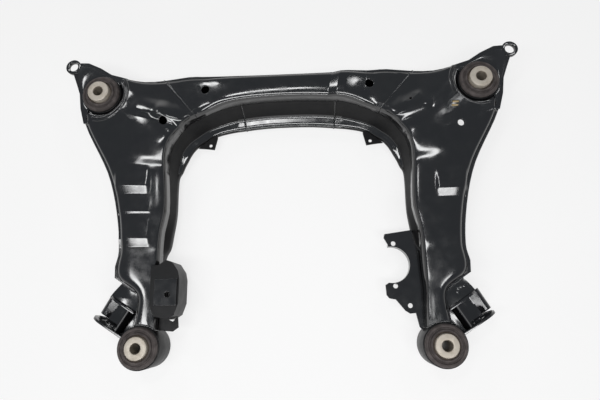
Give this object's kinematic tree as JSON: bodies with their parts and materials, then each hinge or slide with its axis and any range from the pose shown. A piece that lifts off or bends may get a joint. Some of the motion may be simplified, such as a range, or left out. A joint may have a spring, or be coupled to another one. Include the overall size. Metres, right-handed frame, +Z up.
{
  "type": "subframe",
  "caption": "Pressed-steel front subframe: crossmember and rearward legs in a U, with rubber-bushed corner mounts, control arm brackets and inner support brackets.",
  "frame": {"origin": "middle of the plan box at the foot of the rear bush sleeves, which stand on the floor", "axes": "+X to the right of the car, +Y to its front, +Z up"},
  "size_m": [0.874, 0.5884, 0.1171],
  "materials": {
    "paint": "gloss black",
    "bush_rubber": "matt",
    "sleeve_alloy": "bare, fine grain"
  },
  "bodies": {
    "root": {"crossmember_upper": "paint", "crossmember_lower": "paint", "left_rail_upper": "paint", "right_rail_upper": "paint", "left_rail_lower": "paint", "right_rail_lower": "paint", "left_front_console": "paint", "right_front_console": "paint", "left_front_housing": "paint", "right_front_housing": "paint", "left_rear_housing": "paint", "right_rear_housing": "paint", "left_arm_bracket": "paint", "right_arm_bracket": "paint", "left_mount_bracket": "paint", "left_mount_pad": "paint", "left_lower_tab": "paint", "right_mount_bracket": "paint", "left_clip_tab": "paint", "right_clip_tab": "paint", "left_front_rubber": "bush_rubber", "right_front_rubber": "bush_rubber", "left_rear_rubber": "bush_rubber", "right_rear_rubber": "bush_rubber", "left_front_sleeve": "sleeve_alloy", "right_front_sleeve": "sleeve_alloy", "left_rear_sleeve": "sleeve_alloy", "right_rear_sleeve": "sleeve_alloy"}
  },
  "joints": []
}
